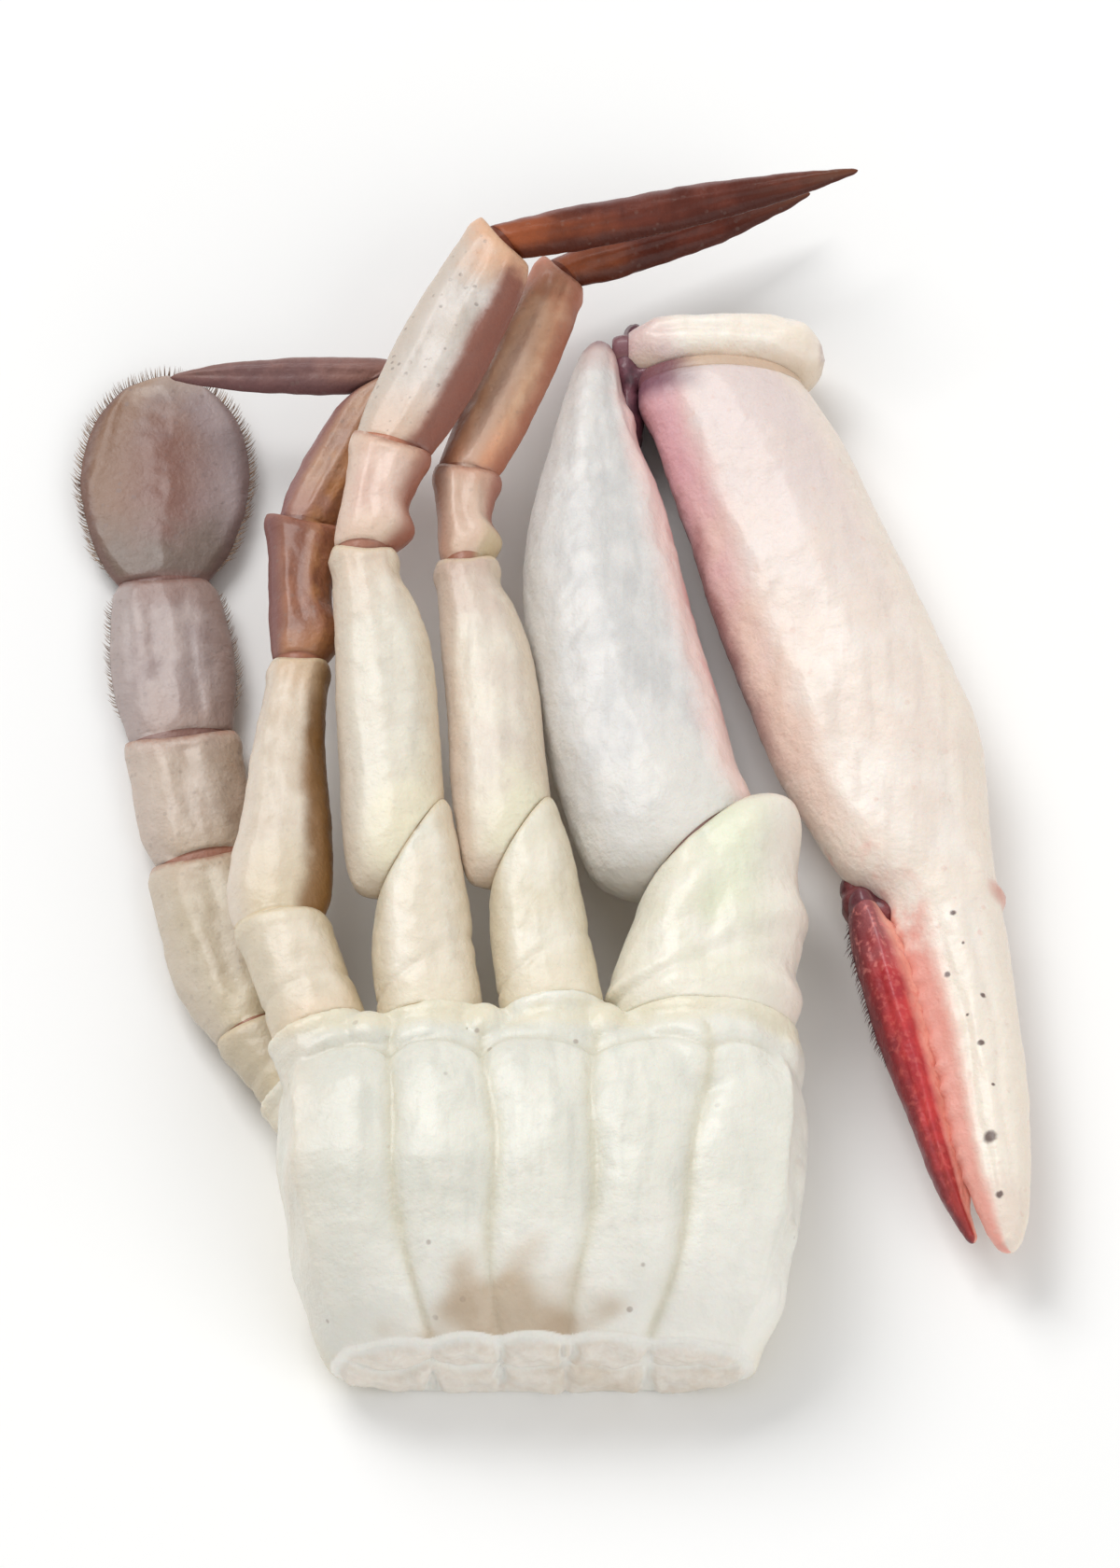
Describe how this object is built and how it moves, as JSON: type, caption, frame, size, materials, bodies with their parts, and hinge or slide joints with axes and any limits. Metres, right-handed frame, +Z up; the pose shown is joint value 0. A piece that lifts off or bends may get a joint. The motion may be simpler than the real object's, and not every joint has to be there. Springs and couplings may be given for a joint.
{
  "type": "swimming crab half",
  "caption": "Raw swimming crab half, cut along the middle and lying underside up: ridged white body, walking legs with dark tips, a swimming paddle and a folded claw with a crimson finger.",
  "frame": {"origin": "middle of the flat that the body rests on", "axes": "+Z up, +Y from the cut face towards the leg tips, +X towards the claw's side"},
  "size_m": [0.1076, 0.1536, 0.024],
  "materials": {
    "body_shell": "wet ivory shell with cream grooves",
    "pale_shell": "wet cream shell, yellower at the joints",
    "arm_shell": "wet cool white shell with a pink edge",
    "hand_shell": "wet cream shell, pink and purple along its inner edge",
    "crimson_shell": "wet crimson shell",
    "pink_shell": "wet pinkish shell with red-brown edges",
    "dark_shell": "wet red-brown to purple shell",
    "paddle_shell": "wet lavender grey shell with brown patches"
  },
  "bodies": {
    "root": {"body_half": "body_shell", "claw_ischium": "pale_shell", "claw_merus": "arm_shell", "claw_carpus": "hand_shell", "claw_palm": "hand_shell", "claw_finger": "crimson_shell", "leg_front_ischium": "pale_shell", "leg_front_merus": "pale_shell", "leg_front_carpus": "pink_shell", "leg_front_propodus": "pink_shell", "leg_front_dactyl": "dark_shell", "leg_middle_ischium": "pale_shell", "leg_middle_merus": "pale_shell", "leg_middle_carpus": "pink_shell", "leg_middle_propodus": "pink_shell", "leg_middle_dactyl": "dark_shell", "leg_back_ischium": "pale_shell", "leg_back_merus": "pale_shell", "leg_back_carpus": "pink_shell", "leg_back_propodus": "pink_shell", "leg_back_dactyl": "dark_shell", "paddle_ischium": "pale_shell", "paddle_merus": "paddle_shell", "paddle_carpus": "paddle_shell", "paddle_propodus": "paddle_shell", "paddle_blade": "paddle_shell"}
  },
  "joints": []
}
